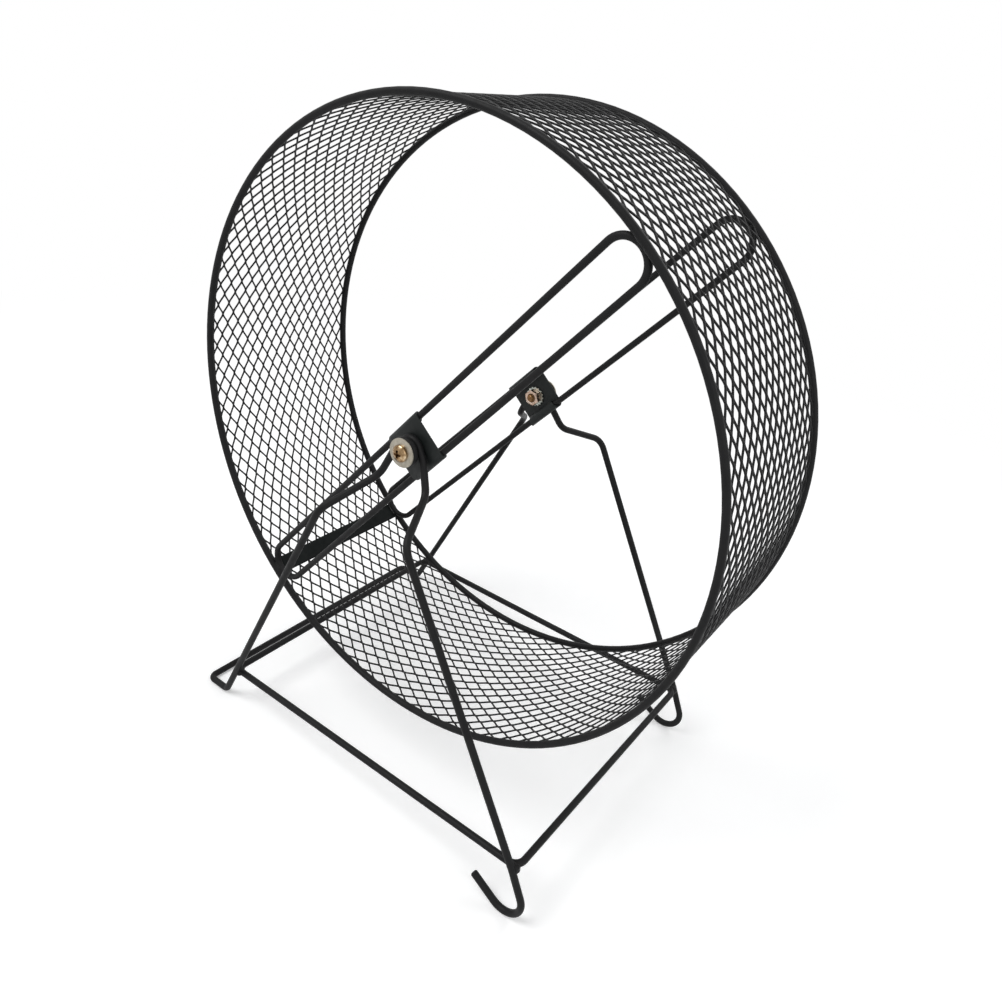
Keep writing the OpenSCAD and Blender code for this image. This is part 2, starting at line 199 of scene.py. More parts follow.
# Corner welds: radii of a bead and its distance inside the node's box, then radii and offsets of a
# second bead from the first
CORNER_BEAD = (2.9 * MM, 2.1 * MM, 2.1 * MM)
CORNER_BEAD_IN = 1.9 * MM
OUTER_BEAD = (2.2 * MM, 2.2 * MM, 2.2 * MM)
OUTER_BEAD_X = 1.3 * MM
OUTER_BEAD_Y = 0.4 * MM
OUTER_BEAD_Z = 0.6 * MM
# Seeds that make the beads differ: for each side of the wheel, small bead, metre of x and metre of y
SEED_SIDE = 3
SEED_SMALL = 0.3
SEED_X = 900
SEED_Y = 700

# Finishes of powder coat: darkest and lightest colour, roughness, gloss level
POWDER_COATS = {
    "black_wire": ((0.0072, 0.0072, 0.0076), (0.0125, 0.0125, 0.013), 0.5, 0.14),
    "black_sheet": ((0.0085, 0.0105, 0.0103), (0.0145, 0.017, 0.0167), 0.44, 0.2),
    "dull_sheet": ((0.0045, 0.0056, 0.0055), (0.0085, 0.0102, 0.01), 0.6, 0.08),
}
# Finishes of plated steel: roughness, then colours from dark to light
PLATINGS = {
    "yellow_zinc": (0.2, (0.14, 0.082, 0.036), (0.34, 0.225, 0.12), (0.7, 0.55, 0.37)),
    # Darker plating: painted shade inside the screws' cross recesses, and the darker colour of the screws' ends
    # past the nuts
    "brown_zinc_and_recess_shade": (0.4, (0.09, 0.05, 0.02), (0.24, 0.13, 0.06)),
    "copper_zinc": (0.24, (0.35, 0.22, 0.155), (0.48, 0.35, 0.275), (0.64, 0.53, 0.45)),
    "pale_steel": (0.46, (0.31, 0.285, 0.235), (0.42, 0.39, 0.33)),
    "grey_steel": (0.34, (0.33, 0.36, 0.33), (0.66, 0.68, 0.62)),
    "dark_steel": (0.42, (0.026, 0.03, 0.03), (0.056, 0.062, 0.062)),
}
# Part of a noise's range over which a ramp runs, and its end for the mottling of the powder coat
RAMP_LOW = 0.3
RAMP_HIGH = 0.7
MOTTLE_HIGH = 0.72
# How far the roughness runs below and above a finish's own
POWDER_SMOOTHER = 0.07
POWDER_ROUGHER = 0.09
PLATING_SMOOTHER = 0.08
PLATING_ROUGHER = 0.12

# Room: the light's strength and tint
ROOM_LIGHT = 0.45
ROOM_TINT = (0.98, 0.99, 1, 1)
WHITE = (1, 1, 1, 1)
# Floor: colour, roughness, gloss level, glow, distances of its fade to white, and half its width
FLOOR_COLOUR = (0.92, 0.92, 0.92, 1)
FLOOR_ROUGHNESS = 0.9
FLOOR_GLOSS_LEVEL = 0.1
FLOOR_LIFT = 0.25
FLOOR_FADE = (0.3, 0.75)
FLOOR_HALF = 12

# Camera, from the photograph's view
CAMERA_AT = Vector((206.5, -288.4, 341.1)) * MM
CAMERA_AZIMUTH = math.radians(31.95)
CAMERA_ELEVATION = math.radians(26.12)
CAMERA_ROLL = math.radians(9.15)
CAMERA_SENSOR = 36
CAMERA_LENS = 30.31
CAMERA_SHIFT = (-0.0256, -0.0585)
CAMERA_REACH = (0.01, 100)


# Materials

def new_material(name):
    """A material with nothing but a shader and an output."""
    material = bpy.data.materials.new(name)
    material.use_nodes = True
    nodes = material.node_tree.nodes
    nodes.clear()
    shader = nodes.new("ShaderNodeBsdfPrincipled")
    output = nodes.new("ShaderNodeOutputMaterial")
    material.node_tree.links.new(shader.outputs["BSDF"], output.inputs["Surface"])
    return material, shader


def noise_at(material, scale, detail, roughness=0.55):
    """Noise in the object's own metres, so that its scale is a real one."""
    nodes, links = material.node_tree.nodes, material.node_tree.links
    place = nodes.new("ShaderNodeTexCoord")
    grain = nodes.new("ShaderNodeTexNoise")
    grain.inputs["Scale"].default_value = scale
    grain.inputs["Detail"].default_value = detail
    grain.inputs["Roughness"].default_value = roughness
    links.new(place.outputs["Object"], grain.inputs["Vector"])
    return grain.outputs["Fac"]


def ramp(material, fac, colours, high=RAMP_HIGH):
    """A ramp over fac, with the colours evenly spaced from RAMP_LOW to high."""
    nodes, links = material.node_tree.nodes, material.node_tree.links
    node = nodes.new("ShaderNodeValToRGB")
    elements = node.color_ramp.elements
    while len(elements) < len(colours):
        elements.new(0.5)
    for k, colour in enumerate(colours):
        elements[k].position = RAMP_LOW + (high - RAMP_LOW) * k / (len(colours) - 1)
        elements[k].color = (*colour, 1)
    links.new(fac, node.inputs["Fac"])
    return node.outputs["Color"]


def greys(low, high):
    """Two greys for a ramp."""
    return ((low, low, low), (high, high, high))


def bump(material, height, strength, distance):
    nodes, links = material.node_tree.nodes, material.node_tree.links
    node = nodes.new("ShaderNodeBump")
    node.inputs["Strength"].default_value = strength
    node.inputs["Distance"].default_value = distance
    links.new(height, node.inputs["Height"])
    return node.outputs["Normal"]


def powder_coat(name, dark, light, rough, gloss_level):
    """Satin powder coat: faint mottling, uneven gloss and a fine orange peel."""
    material, shader = new_material(name)
    links = material.node_tree.links
    mottle = noise_at(material, scale=90, detail=8, roughness=0.68)
    links.new(ramp(material, mottle, (dark, light), MOTTLE_HIGH), shader.inputs["Base Color"])
    gloss = noise_at(material, scale=260, detail=3)
    spread = greys(rough - POWDER_SMOOTHER, rough + POWDER_ROUGHER)
    links.new(ramp(material, gloss, spread), shader.inputs["Roughness"])
    peel = noise_at(material, scale=1400, detail=2)
    links.new(bump(material, peel, strength=0.35, distance=0.05 * MM), shader.inputs["Normal"])
    shader.inputs["Specular IOR Level"].default_value = gloss_level
    return material


def plated_steel(name, rough, *colours):
    """Plating: patches of tint, uneven gloss and fine scratches."""
    material, shader = new_material(name)
    links = material.node_tree.links
    tint = noise_at(material, scale=420, detail=3)
    links.new(ramp(material, tint, colours), shader.inputs["Base Color"])
    dull = noise_at(material, scale=700, detail=4)
    spread = greys(rough - PLATING_SMOOTHER, rough + PLATING_ROUGHER)
    links.new(ramp(material, dull, spread), shader.inputs["Roughness"])
    scratch = noise_at(material, scale=2700, detail=3)
    links.new(bump(material, scratch, strength=0.25, distance=0.03 * MM), shader.inputs["Normal"])
    shader.inputs["Metallic"].default_value = 1.0
    return material


MATERIALS = {name: powder_coat(name, *look) for name, look in POWDER_COATS.items()}
MATERIALS |= {name: plated_steel(name, *look) for name, look in PLATINGS.items()}
SLOTS = {part["node"]: part["material_slot"] for part in frame["record"]["subparts"]}


def finish_nodes():
    """Gives each node of the model the finish of its material slot."""
    for name, finish in SLOTS.items():
        for slot in frame["nodes"][name].material_slots:
            slot.material = MATERIALS[finish]


# Meshes

def add_mesh(name, bm, finishes, body, node, crease=32):
    """Turns a bmesh into the piece that stands for a node; edges over crease degrees stay sharp."""
    bmesh.ops.recalc_face_normals(bm, faces=bm.faces)
    for face in bm.faces:
        face.smooth = True
    mesh = bpy.data.meshes.new(name)
    bm.to_mesh(mesh)
    bm.free()
    if crease < 180:
        mesh.set_sharp_from_angle(angle=math.radians(crease))
    for finish in finishes:
        mesh.materials.append(MATERIALS[finish])
    piece = bpy.data.objects.new(name, mesh)
    bpy.context.scene.collection.objects.link(piece)
    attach(piece, body)
    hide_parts(node)


def bridge(bm, a, b, turned=False):
    """Joins two closed rings of as many points with a band of faces, turned over where asked."""
    for k in range(len(a)):
        n = (k + 1) % len(a)
        bm.faces.new((a[k], b[k], b[n], a[n]) if turned else (a[k], a[n], b[n], b[k]))


def lathe(bm, profile, steps, closed=False):
    """Spins (radius, height) points about the w axis, with flat ends where it isn't closed."""
    angles = [2 * math.pi * k / steps for k in range(steps)]
    rings = []
    for radius, height in profile:
        rings.append([bm.verts.new((radius * math.cos(angle), radius * math.sin(angle), height))
                      for angle in angles])
    pairs = list(zip(rings, rings[1:]))
    if closed:
        pairs.append((rings[-1], rings[0]))
    else:
        bm.faces.new(rings[0][::-1])
        bm.faces.new(rings[-1])
    for a, b in pairs:
        bridge(bm, a, b)


def combine(bm, tool, how):
    """Combines two closed meshes, by DIFFERENCE or INTERSECT."""
    pieces = []
    for part in (bm, tool):
        bmesh.ops.recalc_face_normals(part, faces=part.faces)
        mesh = bpy.data.meshes.new("work")
        part.to_mesh(mesh)
        part.free()
        piece = bpy.data.objects.new("work", mesh)
        bpy.context.scene.collection.objects.link(piece)
        pieces.append(piece)
    cut = pieces[0].modifiers.new("cut", "BOOLEAN")
    cut.operation = how
    cut.object = pieces[1]
    cut.solver = "EXACT"
    graph = bpy.context.evaluated_depsgraph_get()
    mesh = bpy.data.meshes.new_from_object(pieces[0].evaluated_get(graph))
    result = bmesh.new()
    result.from_mesh(mesh)
    for piece in pieces:
        old = piece.data
        bpy.data.objects.remove(piece)
        bpy.data.meshes.remove(old)
    bpy.data.meshes.remove(mesh)
    return result


def on_wheel(radius, angle, w):
    """The place at a radius and an angle about the axle, w towards the near side."""
    return hub + Vector((radius * math.cos(angle), -w, radius * math.sin(angle)))


# Expanded metal, built flat: s runs round the band, w across it and the third axis is lift

def gap_points(long, short):
    """Points round an eye-shaped gap with blunt long tips, starting at one of those."""
    quarter = [((1 - t) * long, (t - MESH_BEND * math.sin(2 * math.pi * t)) * short) for t in MESH_STEPS]
    quarter[0] = (long - MESH_BLUNT, 0)
    back = [(-x, y) for x, y in reversed(quarter[1:])]
    half = quarter + [(0, short)] + back
    return half + [(-x, -y) for x, y in half]


def cut_gap(gap, low, high):
    """Moves the points past low or high onto that line, where they keep within the gap's width."""
    quarter = gap[:len(gap) // 4 + 1]
    points = []
    for x, y in gap:
        line = max(low, min(high, y))
        if line != y:
            for (wide, below), (narrow, above) in zip(quarter, quarter[1:]):
                if abs(line) <= above:
                    reach = wide + (narrow - wide) * (abs(line) - below) / (above - below)
                    x = max(-reach, min(reach, x))
                    break
        points.append((x, line))
    return points


def ring_pair(bm, points, s, w, lean=0):
    """Points on the sheet's lower and upper face; lean is their lift for each metre across."""
    return [[bm.verts.new((s + x, w + y, side * MESH_THICKNESS / 2 + lean * y)) for x, y in points]
            for side in (-1, 1)]


def open_cell(bm, out_low, out_high, gap_low, gap_high):
    """Strands round a gap; on each face, the cell's four tips fan out to the gap's points."""
    count = len(gap_low)
    quarter = count // 4
    for k in range(count):
        n = (k + 1) % count
        bm.faces.new((gap_high[k], gap_high[n], gap_low[n], gap_low[k]))
        tip = (k + quarter // 2) // quarter % 4
        bm.faces.new((out_high[tip], gap_high[n], gap_high[k]))
        bm.faces.new((out_low[tip], gap_low[k], gap_low[n]))
    for k in range(4):
        n = (k + 1) % 4
        middle = k * quarter + quarter // 2
        bm.faces.new((out_high[k], out_high[n], gap_high[middle]))
        bm.faces.new((out_low[n], out_low[k], gap_low[middle]))


def trim_edge(bm, side):
    """Cuts the flat band to its width on one side and closes the cut."""
    edge = side * (rim_w - MESH_SHORT_OF_RIM)
    cut = bmesh.ops.bisect_plane(bm, geom=bm.verts[:] + bm.edges[:] + bm.faces[:], dist=ON_PLANE,
                                 plane_co=(0, edge, 0), plane_no=(0, side, 0), clear_outer=True)
    verts = sorted((item for item in cut["geom_cut"] if isinstance(item, bmesh.types.BMVert)),
                   key=lambda vert: vert.co.x)
    high = [vert for vert in verts if vert.co.z > 0]
    low = [vert for vert in verts if vert.co.z < 0]
    for corners in zip(high, high[1:], low[1:], low):
        bm.faces.new(corners)


def expanded_metal():
    """The band: one cell per gap, each with leaning strands round it, bent to the rim's radius.

    Each edge is cut through a row of gaps; what would be open by less than a sliver is left solid.
    """
    around = 2 * math.pi * rim_r / MESH_AROUND
    slope = math.atan2(MESH_PITCH_W, around)
    long, short = around / 2, MESH_PITCH_W / 2
    gap_long = long - MESH_STRAND / 2 / math.sin(slope)
    gap_short = short - MESH_STRAND / 2 / math.cos(slope)
    outline = [(long, 0), (0, short), (-long, 0), (0, -short)]
    gap = gap_points(gap_long, gap_short)
    gap_edge = rim_w - rim_wire_r - MESH_EDGE
    bm = bmesh.new()
    rows = int(rim_w / short) + 1
    for row in range(-rows, rows + 1):
        w = MESH_SHIFT_W + row * short
        opened = cut_gap(gap, -gap_edge - w, gap_edge - w)
        is_open = abs(w) - gap_short <= gap_edge - MESH_SLIVER
        for column in range(MESH_AROUND):
            s = (column + MESH_START + 0.5 * (row % 2)) * around
            out_low, out_high = ring_pair(bm, outline, s, w)
            if is_open:
                gap_low, gap_high = ring_pair(bm, opened, s, w, MESH_TILT / gap_short)
                open_cell(bm, out_low, out_high, gap_low, gap_high)
            else:
                bm.faces.new(out_low[::-1])
                bm.faces.new(out_high)
    bmesh.ops.remove_doubles(bm, verts=bm.verts, dist=MERGE)
    for side in (-1, 1):
        trim_edge(bm, side)
    for vert in bm.verts:
        s, w, lift = vert.co
        vert.co = on_wheel(rim_r + lift, s / rim_r, w)
    bmesh.ops.remove_doubles(bm, verts=bm.verts, dist=MERGE)
    bmesh.ops.dissolve_degenerate(bm, edges=bm.edges, dist=VANISH)
    add_mesh("expanded_metal", bm, ["black_wire"], "wheel", "mesh_band", crease=180)


def seam_strip():
    """Strip with rounded edges and a shallow press mark at each spot weld."""
    low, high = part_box("seam_strip")
    half_w = (high.y - low.y) / 2
    outer = rim_r - STRIP_INSET
    spots = [share * half_w for share in SPOTS]
    bm = bmesh.new()
    top, under = [], []
    for i in range(STRIP_ALONG):
        y = -half_w + 2 * half_w * i / (STRIP_ALONG - 1)
        row_top, row_under = [], []
        for j in range(STRIP_ACROSS):
            s = STRIP_HALF * math.sin(math.pi / 2 * (2 * j / (STRIP_ACROSS - 1) - 1))
            inset = 0
            edge = min(STRIP_HALF - abs(s), half_w - abs(y))
            if edge < STRIP_SOFT:
                inset = STRIP_SOFT - math.sqrt(max(STRIP_SOFT ** 2 - (STRIP_SOFT - edge) ** 2, 0))
            press = sum(SPOT_DEPTH * math.exp(-(s ** 2 + (y - spot) ** 2) / SPOT_R ** 2) for spot in spots)
            angle = SPOKE_ANGLE + math.pi + s / outer
            row_top.append(bm.verts.new(on_wheel(outer - STRIP_DEPTH + inset + press, angle, -y)))
            row_under.append(bm.verts.new(on_wheel(outer - STRIP_GAP, angle, -y)))
        top.append(row_top)
        under.append(row_under)
    for grid, flip in ((top, False), (under, True)):
        for a, b in zip(grid, grid[1:]):
            for k in range(STRIP_ACROSS - 1):
                corners = (a[k], a[k + 1], b[k + 1], b[k])
                bm.faces.new(corners[::-1] if flip else corners)
    borders = []
    for grid in (top, under):
        borders.append([row[0] for row in grid] + grid[-1][1:-1]
                       + [row[-1] for row in reversed(grid)] + grid[0][-2:0:-1])
    bridge(bm, borders[0], borders[1], turned=True)
    add_mesh("seam_strip_detail", bm, ["dull_sheet"], "wheel", "seam_strip", crease=60)


# Wheel sides: u runs along the spoke wires, v across them and w outward along the axle

def side_frame(side):
    """Turns u, v, w of one side, near (-1) or far (1), into the model's own frame."""
    angle = SPOKE_ANGLE - side * SPOKE_TWIST / 2
    return Matrix((
        (math.cos(angle), -math.sin(angle), 0, hub.x),
        (0, 0, side, hub.y),
        (math.sin(angle), math.cos(angle), 0, hub.z),
        (0, 0, 0, 1),
    ))


def span(node):
    """Distances of a coaxial node's two ends from the middle of the wheel, and its radius."""
    low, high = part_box(node)
    ends = sorted((abs(low.y), abs(high.y)))
    return ends[0], ends[1], (high.z - low.z) / 2


def recess_arm(floor, top, turn):
    """A bar that narrows downward, for one arm of a cross recess."""
    bm = bmesh.new()
    rings = []
    for (length, width), height in ((RECESS_FLOOR, floor), (RECESS_TOP, top)):
        ring = []
        for x, y in ((-length, -width), (length, -width), (length, width), (-length, width)):
            place = Matrix.Rotation(turn, 3, "Z") @ Vector((x / 2, y / 2, height))
            ring.append(bm.verts.new(place))
        rings.append(ring)
    bm.faces.new(rings[0][::-1])
    bm.faces.new(rings[1])
    bridge(bm, rings[0], rings[1])
    return bm


def thread(bm, low, high):
    """A ridge that winds up the screw's core from low to high and runs out at both ends."""
    last = int((high - low) / THREAD_PITCH * THREAD_STEPS)
    sections = []
    for k in range(last + 1):
        angle = 2 * math.pi * k / THREAD_STEPS
        middle = low + THREAD_PITCH * k / THREAD_STEPS
        rise = min(1, k / THREAD_RUN_OUT, (last - k) / THREAD_RUN_OUT)
        foot, crest = SCREW_CORE_R - THREAD_SINK, SCREW_CORE_R + THREAD_HEIGHT * rise
        section = []
        for radius, off in ((foot, -THREAD_FOOT), (crest, -THREAD_CREST),
                            (crest, THREAD_CREST), (foot, THREAD_FOOT)):
            section.append(bm.verts.new((radius * math.cos(angle), radius * math.sin(angle),
                                         middle + off * THREAD_PITCH)))
        sections.append(section)
    for a, b in zip(sections, sections[1:]):
        bridge(bm, a, b, turned=True)
    bm.faces.new(sections[0])
    bm.faces.new(sections[-1][::-1])


def screw(side, name):
    """Pan head with a cross recess, and a rolled thread on the end that shows past the nut."""
    tip, top, head_r = span(name + "_screw")
    seat = span(name + "_large_washer")[1]
    nut_low = span(name + "_nut")[0]
    height = top - seat
    edge = HEAD_EDGE_SHARE * height
    dome = (head_r ** 2 + (height - edge) ** 2) / (2 * (height - edge))
    arc = math.asin(head_r / dome)
    corner = HEAD_SOFT_MIDDLE * HEAD_SOFT
    profile = [(SCREW_TIP_R, tip), (SCREW_CORE_R, tip + SCREW_CHAMFER),
               (SCREW_CORE_R, nut_low + CORE_IN_NUT), (SCREW_R, nut_low + SHANK_IN_NUT),
               (SCREW_R, seat), (head_r - HEAD_SOFT, seat), (head_r - corner, seat + corner),
               (head_r, seat + HEAD_SOFT), (head_r, seat + edge - HEAD_SOFT)]
    for k in range(1, DOME_STEPS):
        phi = arc * (1 - k / DOME_STEPS)
        profile.append((dome * math.sin(phi), top - dome + dome * math.cos(phi)))
    bm = bmesh.new()
    lathe(bm, profile, steps=72)
    for turn in RECESS_TURNS:
        bm = combine(bm, recess_arm(top - RECESS_DEPTH, top + RECESS_PAST, turn), "DIFFERENCE")
    thread(bm, tip + THREAD_START, nut_low + THREAD_IN_NUT)
    # Recess faces take the darker plating as painted shade; the end past the nut takes it as its darker colour
    for face in bm.faces:
        at = face.calc_center_median()
        skin = top - dome + math.sqrt(dome ** 2 - (at.x ** 2 + at.y ** 2))
        in_middle = math.hypot(at.x, at.y) < RECESS_SHADE_REACH * head_r
        in_painted_recess_shade = at.z > seat and in_middle and at.z < skin - RECESS_SHADE_SKIN
        if in_painted_recess_shade or at.z < nut_low + CORE_IN_NUT:
            face.material_index = 1
    bm.transform(side_frame(side))
    add_mesh(name + "_screw_detail", bm, ["yellow_zinc", "brown_zinc_and_recess_shade"], "wheel", name + "_screw")


def nut(side, name):
    """Hexagon nut with turned chamfers on both faces and a countersunk hole."""
    low, high, _ = span(name + "_nut")
    corner = NUT_FLAT / math.cos(math.radians(30))
    face_r, corner_r = NUT_FLAT * NUT_FACE_SHARE, corner * NUT_CORNER_SHARE
    hexagon = bmesh.new()
    lathe(hexagon, [(corner, low), (corner, high)], steps=6)
    cone = bmesh.new()
    lathe(cone, [(face_r, low), (corner_r, low + NUT_CHAMFER), (corner_r, high - NUT_CHAMFER),
                 (face_r, high)], steps=72)
    bm = combine(hexagon, cone, "INTERSECT")
    hole = bmesh.new()
    lathe(hole, [(NUT_SINK_R, low - NUT_CUT_PAST), (NUT_SINK_R, low), (NUT_HOLE_R, low + NUT_CHAMFER),
                 (NUT_HOLE_R, high - NUT_CHAMFER), (NUT_SINK_R, high), (NUT_SINK_R, high + NUT_CUT_PAST)],
          steps=48)
    bm = combine(bm, hole, "DIFFERENCE")
    bm.transform(side_frame(side))
    add_mesh(name + "_nut_detail", bm, ["copper_zinc"], "wheel", name + "_nut")


def large_washer(side, name):
    """Stamped washer: rolled-over edge on the outer face, sharp edge on the inner one."""
    low, high, outer = span(name + "_large_washer")
    profile = [(WASHER_HOLE_R, low + WASHER_HOLE_BREAK), (WASHER_HOLE_R + WASHER_HOLE_BREAK, low),
               (outer - WASHER_RIM_BREAK, low), (outer, low + WASHER_RIM_BREAK)]
    profile += [(outer - inward, high - below) for inward, below in WASHER_EDGE]
    profile += [(WASHER_HOLE_R + WASHER_HOLE_ROLL, high), (WASHER_HOLE_R, high - WASHER_HOLE_ROLL)]
    bm = bmesh.new()
    lathe(bm, profile, steps=96, closed=True)
    bm.transform(side_frame(side))
    add_mesh(name + "_washer_detail", bm, ["pale_steel"], "wheel", name + "_large_washer")


def bush(side, name):
    """Collar with chamfered edges at its outer end."""
    low, high, outer = span(name + "_bush")
    profile = [(BUSH_HOLE_R, low), (outer, low), (outer, high - BUSH_CHAMFER),
               (outer - BUSH_CHAMFER, high), (BUSH_HOLE_R + BUSH_CHAMFER, high),
               (BUSH_HOLE_R, high - BUSH_CHAMFER)]
    bm = bmesh.new()
    lathe(bm, profile, steps=64, closed=True)
    bm.transform(side_frame(side))
    add_mesh(name + "_bush_detail", bm, ["dark_steel"], "wheel", name + "_bush")


def lock_washer(side, name):
    """Ring with external teeth, each twisted out of the ring's plane."""
    low, high, _ = span(name + "_lock_washer")
    middle, half = (low + high) / 2, (high - low) / 2
    count = len(LOCK_POINTS) * LOCK_TEETH
    bm = bmesh.new()
    rings = []
    for radius, share, at_tips in ((LOCK_HOLE_R, LOCK_RING_SHARE, False),
                                   (LOCK_TIP_R - LOCK_TOOTH, LOCK_RING_SHARE, False),
                                   (LOCK_TIP_R, LOCK_TIP_SHARE, True)):
        for face in (-1, 1):
            ring = []
            for k in range(count):
                angle = 2 * math.pi * k / count
                inward, twist = LOCK_POINTS[k % len(LOCK_POINTS)] if at_tips else (0, 0)
                reach = radius - inward
                ring.append(bm.verts.new((reach * math.cos(angle), reach * math.sin(angle),
                                          middle + face * half * share + half * twist)))
            rings.append(ring)
    order = (0, 2, 4, 5, 3, 1)
    for a, b in zip(order, order[1:] + order[:1]):
        bridge(bm, rings[a], rings[b])
    bm.transform(side_frame(side))
    add_mesh(name + "_lock_washer_detail", bm, ["grey_steel"], "wheel", name + "_lock_washer", crease=20)


def smooth(share):
    """Eases a share from 0 to 1 in and out."""
    return share * share * (3 - 2 * share)


def plate_path(web, wire_w):
    """Middle of the sheet across the plate as (v, w), and how far it is cut back at each point."""
    middle = PLATE_ROLL_R - PLATE_SHEET / 2
    roll, cut = [], []
    for k in range(PLATE_ROLL_STEPS + 1):
        turn = PLATE_ROLL_END * k / PLATE_ROLL_STEPS
        roll.append((SPOKE_WIRE_V + middle * math.sin(turn), wire_w + middle * math.cos(turn)))
        cut.append(PLATE_CUT_BACK * smooth(k / PLATE_ROLL_STEPS))
    flat = [(SPOKE_WIRE_V * k / 4, web) for k in range(-3, 4)]
    path = [(-v, w) for v, w in reversed(roll)] + flat + roll
    return path, cut[::-1] + [0] * len(flat) + cut


def hub_plate(side, name):
    """Sheet with both edges rolled round the spoke wires, drawn as one strip of even thickness."""
    loop_low, loop_high, _ = span(name + "_spoke_loop")
    web = span(name + "_bush")[0] - PLATE_SHEET / 2
    path, back = plate_path(web, (loop_low + loop_high) / 2)
    points = len(path)
    places = []
    for k, place in enumerate(path):
        before, after = path[max(k - 1, 0)], path[min(k + 1, points - 1)]
        along = Vector((after[0] - before[0], after[1] - before[1])).normalized()
        places.append((Vector(place), Vector((-along.y, along.x))))
    bm = bmesh.new()
    rings = []
    ends = [(-1, inset, share) for inset, share in PLATE_EDGE]
    ends += [(1, inset, share) for inset, share in reversed(PLATE_EDGE)]
    for end, inset, share in ends:
        lines = []
        for face in (-1, 1):
            line = []
            for (place, out), less in zip(places, back):
                v, w = place + out * (face * share * PLATE_SHEET / 2)
                line.append(bm.verts.new((end * (PLATE_HALF - less - inset * PLATE_SOFT), v, w)))
            lines.append(line)
        rings.append(lines[0] + lines[1][::-1])
    for a, b in zip(rings, rings[1:]):
        bridge(bm, a, b)
    for ring in (rings[0], rings[-1]):
        for k in range(points - 1):
            bm.faces.new((ring[k], ring[k + 1], ring[-2 - k], ring[-1 - k]))
    bm.transform(side_frame(side))
    add_mesh(name + "_plate_detail", bm, ["black_sheet"], "wheel", name + "_hub_plate", crease=40)


# Welds

def bead(bm, at, axes, radii, seed):
    """A weld bead: a lump with an uneven skin."""
    broad, broad_scale = BEAD_BROAD
    small, small_scale = BEAD_SMALL
    lump = bmesh.ops.create_icosphere(bm, subdivisions=4, radius=1)
    for vert in lump["verts"]:
        swell = 1 + broad * noise.noise(vert.co * broad_scale + Vector((seed, 0, 0)))
        swell += small * noise.noise(vert.co * small_scale + Vector((0, seed, 0)))
        place = Vector(at)
        for axis, radius, step in zip(axes, radii, vert.co):
            place += axis * radius * step * swell
        vert.co = place


def spoke_welds():
    """Three beads at each of the four places where a loop's end meets a rim."""
    bm = bmesh.new()
    for number, side in enumerate((-1, 1)):
        to_world = side_frame(side)
        axes = [to_world.to_3x3().col[k].normalized() for k in range(3)]
        for end in (-1, 1):
            seed = SEED_SIDE * number + end
            at = to_world @ Vector((end * (rim_r - SPOKE_BEAD_IN_U), 0, rim_w - SPOKE_BEAD_IN_W))
            bead(bm, at, axes, SPOKE_BEAD, seed)
            for step in (-1, 1):
                at = to_world @ Vector((end * (rim_r - SIDE_BEAD_IN_U), step * SIDE_BEAD_OFF,
                                        rim_w - SIDE_BEAD_IN_W))
                bead(bm, at, axes, SIDE_BEAD, seed + SEED_SMALL * step)
    add_mesh("spoke_weld_beads", bm, ["black_wire"], "wheel", "spoke_welds")


def corner_welds():
    """Beads that fill the notches between each leg and the base ring's corner."""
    low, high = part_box("corner_welds")
    axes = [Vector((1, 0, 0)), Vector((0, 1, 0)), Vector((0, 0, 1))]
    bm = bmesh.new()
    for x, z in ((low.x + CORNER_BEAD_IN, low.z + CORNER_BEAD_IN),
                 (high.x - CORNER_BEAD_IN, high.z - CORNER_BEAD_IN)):
        for y in (low.y + CORNER_BEAD_IN, high.y - CORNER_BEAD_IN):
            seed = x * SEED_X + y * SEED_Y
            bead(bm, (x, y, z), axes, CORNER_BEAD, seed)
            outside = (x + math.copysign(OUTER_BEAD_X, x), y - math.copysign(OUTER_BEAD_Y, y),
                       z - OUTER_BEAD_Z)
            bead(bm, outside, axes, OUTER_BEAD, seed + 1)
    add_mesh("corner_weld_beads", bm, ["black_wire"], "stand", "corner_welds")


# Room

def add_node(nodes, kind, values):
    """A new node with values set on its named inputs."""
    node = nodes.new(kind)
    for name, value in values.items():
        node.inputs[name].default_value = value
    return node


def math_node(nodes, links, operation, first, second):
    """Result of a Math node, held within 0 to 1; second is a socket or a number."""
    node = nodes.new("ShaderNodeMath")
    node.operation = operation
    node.use_clamp = True
    links.new(first, node.inputs[0])
    if isinstance(second, bpy.types.NodeSocket):
        links.new(second, node.inputs[1])
    else:
        node.inputs[1].default_value = second
    return node.outputs[0]


def seen_ray(nodes, links):
    """1 for rays from the camera and for those that metal or glass sends on."""
    path = nodes.new("ShaderNodeLightPath")
    total = path.outputs["Is Camera Ray"]
    for kind in ("Is Glossy Ray", "Is Transmission Ray"):
        total = math_node(nodes, links, "ADD", total, path.outputs[kind])
    return total


